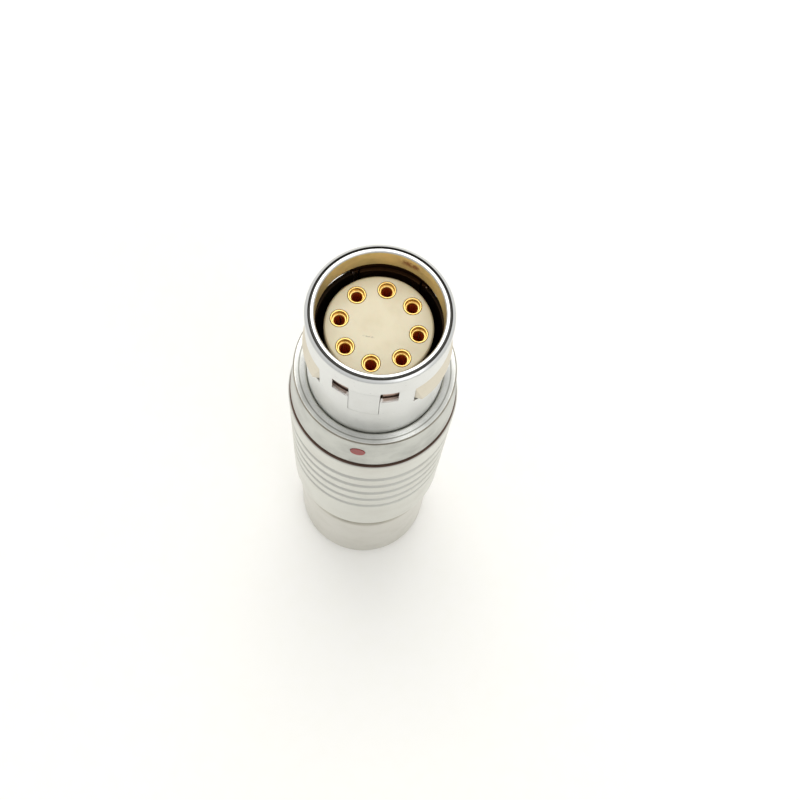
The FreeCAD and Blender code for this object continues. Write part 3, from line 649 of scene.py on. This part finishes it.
def contacts():
    """The gold socket contacts: a slotted bore in front and a solder cup behind."""
    edge = 0.02
    foot, cup_floor, bore_floor = 28.0, 31.2, 44.75
    cup_bore, tail, collar, barrel = 0.42, 0.58, 0.835, 0.715
    mouth, ledge, bore = 0.57, 0.475, 0.415
    plain = lathe("contact", [
        (cup_bore, foot, edge), (tail, foot, edge), (tail, 40.03, 0), (collar, 40.03, edge),
        (collar, 41.97, edge), (barrel, 41.97, 0), (barrel, FACE, 0.04), (0.62, FACE, 0.02),
        (mouth, FACE - 0.05, 0.02), (mouth, FACE - 0.36, 0.03), (ledge, FACE - 0.36, 0.02),
        (bore, FACE - 0.42, 0.02), (bore, bore_floor, 0), (0, bore_floor, 0),
        (0, cup_floor, 0), (cup_bore, cup_floor, 0),
    ], 56)
    slot_half, slot_foot, slot_head = 0.065, FACE - 3.6, FACE - 0.65
    cup_opening_top = 30.24
    cuts = [
        block("spring_slot", (-1, -slot_half, slot_foot), (1, slot_half, slot_head)),
        block("cup_mouth", (-0.9, -1, 27), (0.9, 0, cup_opening_top)),
    ]
    whole = carved(plain, cuts)
    for number in range(CONTACT_COUNT):
        mesh = whole.copy()
        turned = Matrix.Rotation(math.radians(contact_bearing(number) + 90), 4, "Z")
        mesh.transform(moved_to_contact(number) @ turned)
        node = "contact_%d" % (number + 1)
        place(node + "_fine", mesh, node, "core", gold)


def spring():
    """The return spring with a round wire."""
    wire, mean, turns = 0.25, 5.94, 7.5
    foot, head = 21.73, 35.77
    steps, corners = 240, 12
    made = bmesh.new()
    sections = []
    for step in range(steps + 1):
        bearing = 2 * math.pi * turns * step / steps
        level = foot + (head - foot) * step / steps
        section = []
        for corner in range(corners):
            angle = 2 * math.pi * corner / corners
            radius = mean + wire * math.cos(angle)
            section.append(made.verts.new((
                radius * math.cos(bearing) * MM, radius * math.sin(bearing) * MM,
                (level + wire * math.sin(angle)) * MM)))
        sections.append(section)
    for near, far in zip(sections, sections[1:]):
        for corner in range(corners):
            turn = (corner + 1) % corners
            made.faces.new((near[corner], near[turn], far[turn], far[corner]))
    made.faces.new(sections[0])
    made.faces.new(sections[-1])
    bmesh.ops.recalc_face_normals(made, faces=made.faces)
    coil = place("spring_fine", as_mesh(made, "spring"), "return_spring", "core",
                 spring_steel)
    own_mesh(coil)


spring()
nose()
sleeve()
nut()
insulator()
contacts()


# The floor, the lights and the camera.

def floor():
    reach = 0.9
    mesh = bpy.data.meshes.new("floor")
    corners = [(-reach, -reach, 0), (reach, -reach, 0), (reach, reach, 0), (-reach, reach, 0)]
    mesh.from_pydata(corners, [], [(0, 1, 2, 3)])
    made = new_object("floor", mesh)
    made.location.z = -0.00002
    material, n = started("floor_white")
    grain = n.noise(n.position(), size_mm=2.0)
    white = n.mix(n.ramp(grain, low=0.3, high=0.8), srgb(254, 253, 250), srgb(253, 252, 248))
    n.link(white, "Base Color")
    n.set("Roughness", 0.7)
    n.set("Specular IOR Level", 0.1)
    mesh.materials.append(material)


def world():
    """White to the camera; for reflections, bright overhead and behind, dimmer in front."""
    made = bpy.data.worlds.new("studio")
    made.use_nodes = True
    n = Nodes(made.node_tree, "Background")
    coordinates = n.tree.nodes.new("ShaderNodeTexCoord")
    _, back, up = n.split(coordinates.outputs["Generated"])
    lift = n.tree.nodes.new("ShaderNodeMapRange")
    n.feed(lift.inputs["Value"], n.math("MULTIPLY_ADD", back, 0.5, up))
    n.feed(lift.inputs["From Min"], -0.2)
    n.feed(lift.inputs["From Max"], 1.0)
    n.feed(lift.inputs["To Min"], 0.55)
    n.feed(lift.inputs["To Max"], 1.05)
    path = n.tree.nodes.new("ShaderNodeLightPath")
    soft_white = (0.80, 0.80, 0.785, 1.0)
    full_white = (1.0, 1.0, 1.0, 1.0)
    light = n.mix(path.outputs["Is Glossy Ray"], soft_white, lift.outputs["Result"])
    n.link(n.mix(path.outputs["Is Camera Ray"], light, full_white), "Color")
    n.set("Strength", 1.0)
    bpy.context.scene.world = made


def softbox(name, stand, size, radiance, colour):
    """A square lamp of the given side and brightness, in metres, that looks at the part."""
    lamp = bpy.data.lights.new(name, "AREA")
    lamp.shape = "SQUARE"
    lamp.size = size
    lamp.energy = radiance * math.pi * size * size
    lamp.color = colour
    made = new_object(name, lamp)
    made.location = stand
    toward = Vector((0.0, 0.0, 0.03)) - Vector(stand)
    made.rotation_euler = toward.to_track_quat("-Z", "Y").to_euler()


def camera():
    """The photo's view, steeply from above and in front."""
    data = bpy.data.cameras.new("camera")
    data.sensor_width = 36.0
    data.lens = 51.75
    data.clip_start = 0.005
    data.dof.use_dof = False
    made = new_object("camera", data)
    right = Vector((0.97986, 0.19194, 0.05516))
    up = Vector((-0.19929, 0.92177, 0.33262))
    back = Vector((0.01300, -0.33691, 0.94145))
    turn = Matrix((right, up, back)).transposed().to_4x4()
    turn.translation = Vector((3.88, -34.91, 132.15)) * MM
    made.matrix_world = turn
    bpy.context.scene.camera = made


floor()
world()
softbox("key_light", (-0.05, 0.17, 0.40), 0.30, 2.1, (1.0, 0.99, 0.97))
softbox("side_light", (0.24, -0.20, 0.32), 0.20, 1.3, (0.99, 0.99, 1.0))
camera()

view = bpy.context.scene.view_settings
view.view_transform = "Standard"
